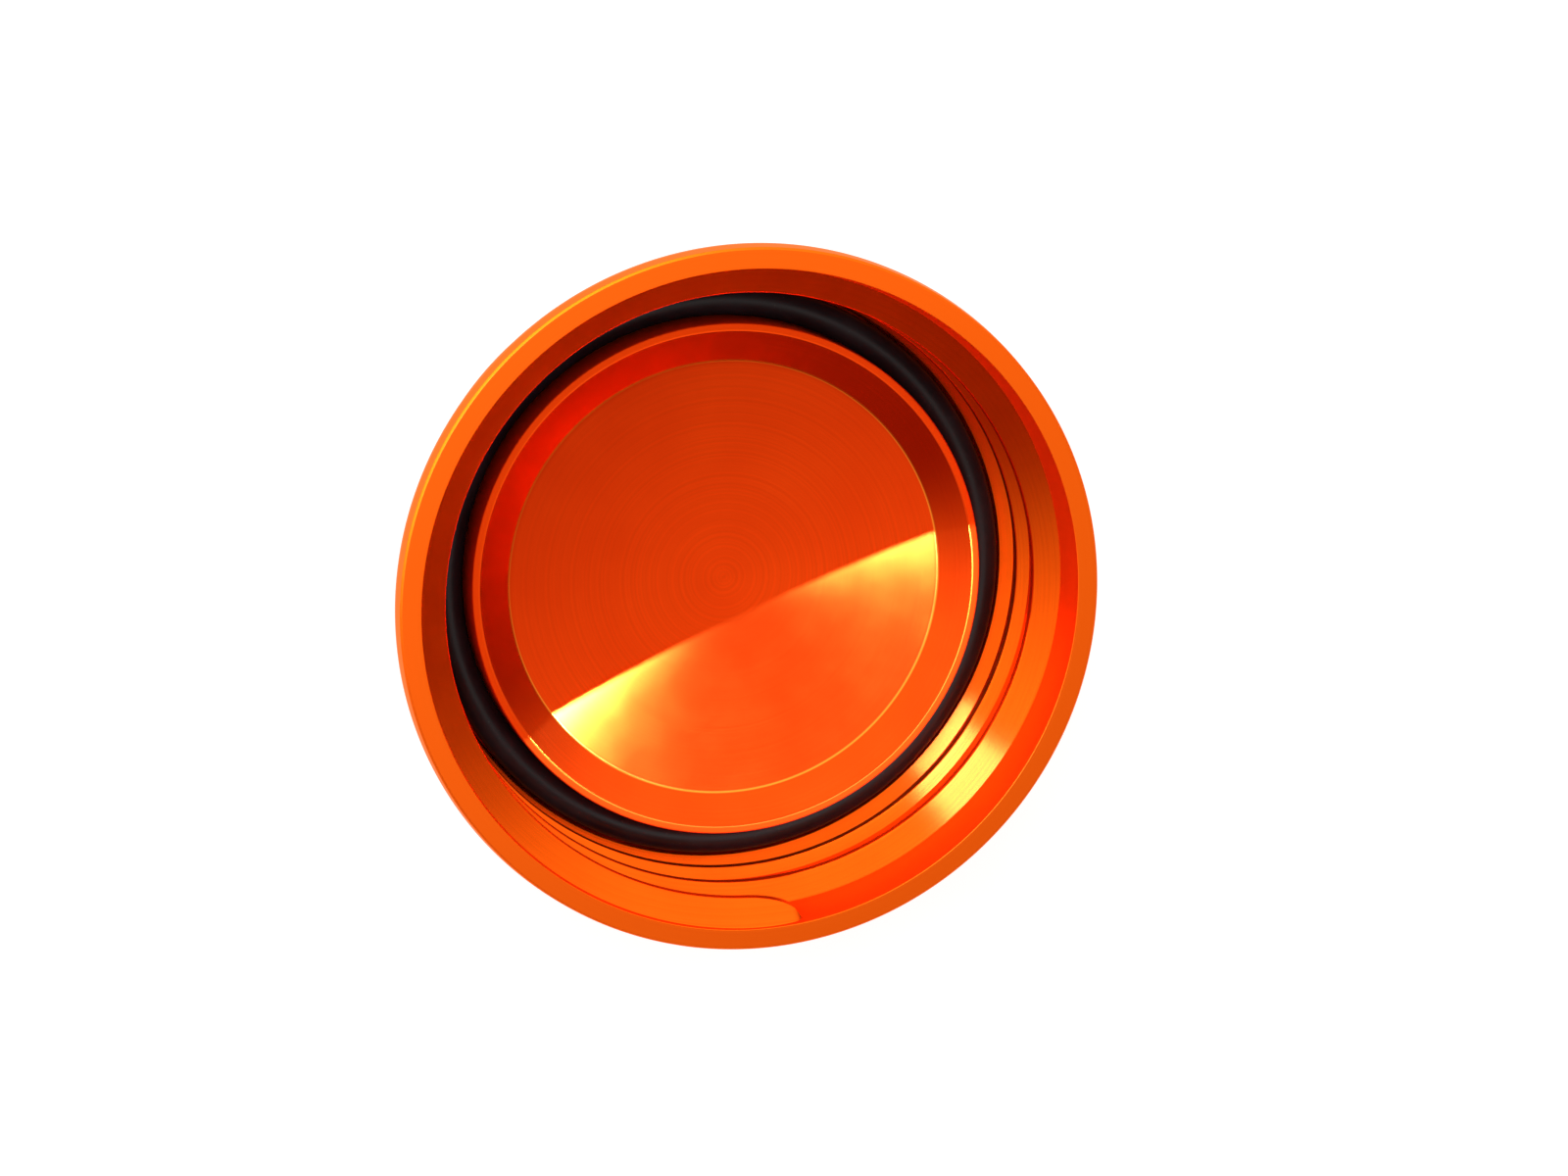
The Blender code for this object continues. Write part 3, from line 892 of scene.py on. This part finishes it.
def area_light(name, centre, target, length, depth, radiance):
    """A rectangular panel that faces the target. Its power follows from how bright it looks."""
    light = bpy.data.lights.new(name, "AREA")
    light.shape = "RECTANGLE"
    light.size = length
    light.size_y = depth
    light.energy = radiance * length * depth * pi
    lamp = add_object(name, light)
    aim = (Vector(centre) - Vector(target)).to_track_quat("Z", "Y")
    lamp.matrix_world = Matrix.Translation(centre) @ aim.to_matrix().to_4x4()
    return lamp


def light_only(lamp, piece):
    """Let the lamp light only this piece."""
    linked = bpy.data.collections.new(lamp.name + "_linking")
    linked.objects.link(piece)
    linked.collection_objects[0].light_linking.link_state = "INCLUDE"
    lamp.light_linking.receiver_collection = linked


def key_light(disc):
    """A small lamp whose cone ends in a nearly straight line across the dish.

    It makes the two bright wedges in the turned dish. The edge of the wide cone is aimed at
    that line, on the side where the dish is lit.
    """
    dish = Vector((0.0, 0.0, NOSE_TOP - DISH_EDGE_DEPTH - 0.5 * DISH_SAG))
    place = dish + Vector((*KEY_SLOPE, 1.0)) * KEY_HEIGHT
    along = toward(KEY_EDGE_TURN, pi / 2)
    lit_side = Vector((along.y, -along.x, 0.0))
    edge = (dish + lit_side * KEY_EDGE_DROP - place).normalized()
    across = along.cross(edge).normalized()
    if across.dot(lit_side) < 0:
        across.negate()
    aim = edge * cos(0.5 * KEY_SPREAD) + across * sin(0.5 * KEY_SPREAD)
    light = bpy.data.lights.new("key_light", "SPOT")
    light.energy = KEY_POWER
    light.color = KEY_COLOUR
    light.spot_size = KEY_SPREAD
    light.spot_blend = 0.0
    light.shadow_soft_size = KEY_RADIUS
    lamp = add_object("key_light", light)
    turn = aim.to_track_quat("-Z", "Y").to_matrix().to_4x4()
    lamp.matrix_world = Matrix.Translation(place) @ turn
    light_only(lamp, disc)


def windows(nut):
    """Two bright windows on the camera's side: a high one for the flanks, a low one for walls."""
    target = Vector((0.0, 0.0, 0.5 * HEIGHT))
    high = target + toward(WINDOW_TURN, WINDOW_TILT) * WINDOW_DISTANCE
    lamp = area_light("high_window", high, target, *WINDOW_SIZE, WINDOW_RADIANCE)
    lamp.data.color = WINDOW_COLOUR
    light_only(lamp, nut)
    low = target + toward(CAMERA_TURN, LOW_WINDOW_TILT) * WINDOW_DISTANCE
    area_light("low_window", low, target, *LOW_WINDOW_SIZE, LOW_WINDOW_RADIANCE)


def sky():
    """Soft light all round: bright on one side, near the camera's, and dark red opposite."""
    world = bpy.data.worlds.new("studio_world")
    bpy.context.scene.world = world
    world.use_nodes = True
    tree = world.node_tree
    background = tree.nodes["Background"]
    direction = tree.nodes.new("ShaderNodeTexCoord").outputs["Generated"]
    lean = tree.nodes.new("ShaderNodeVectorMath")
    lean.operation = "DOT_PRODUCT"
    lean.inputs[1].default_value = toward(SKY_TURN, SKY_LEAN)
    tree.links.new(direction, lean.inputs[0])
    ramp = tree.nodes.new("ShaderNodeMapRange")
    ramp.interpolation_type = "SMOOTHSTEP"
    ramp.inputs["From Min"].default_value = SKY_RAMP[0]
    ramp.inputs["From Max"].default_value = SKY_RAMP[1]
    tree.links.new(lean.outputs["Value"], ramp.inputs["Value"])
    tone = tree.nodes.new("ShaderNodeMix")
    tone.data_type = "RGBA"
    tone.clamp_factor = False
    tone.inputs[MIX_COLOUR_A].default_value = SKY_DARK
    tone.inputs[MIX_COLOUR_B].default_value = SKY_BRIGHT
    tree.links.new(ramp.outputs["Result"], tone.inputs["Factor"])
    tree.links.new(tone.outputs[MIX_COLOUR_RESULT], background.inputs["Color"])


def photo_camera():
    """The camera looks into the mouth from 18 degrees off the axis."""
    side_dir = Vector((-sin(CAMERA_TURN), cos(CAMERA_TURN), 0.0))
    short = toward(CAMERA_TURN, CAMERA_TILT + pi / 2)
    back = toward(CAMERA_TURN, CAMERA_TILT)
    right = cos(CAMERA_TURN) * short - sin(CAMERA_TURN) * side_dir
    up = sin(CAMERA_TURN) * short + cos(CAMERA_TURN) * side_dir
    lens = bpy.data.cameras.new("photo_camera")
    lens.lens = CAMERA_LENS
    lens.shift_x, lens.shift_y = CAMERA_SHIFT
    lens.clip_start = CAMERA_NEAR
    camera = add_object("photo_camera", lens)
    turn = Matrix((right, up, back)).transposed().to_4x4()
    eye = Vector((0.0, 0.0, HEIGHT)) + back * CAMERA_DISTANCE
    camera.matrix_world = Matrix.Translation(eye) @ turn
    bpy.context.scene.camera = camera


swivel_nut, closing_disc = build_object()
studio_floor()
key_light(closing_disc)
windows(swivel_nut)
sky()
photo_camera()
bpy.context.scene.view_settings.view_transform = "Standard"
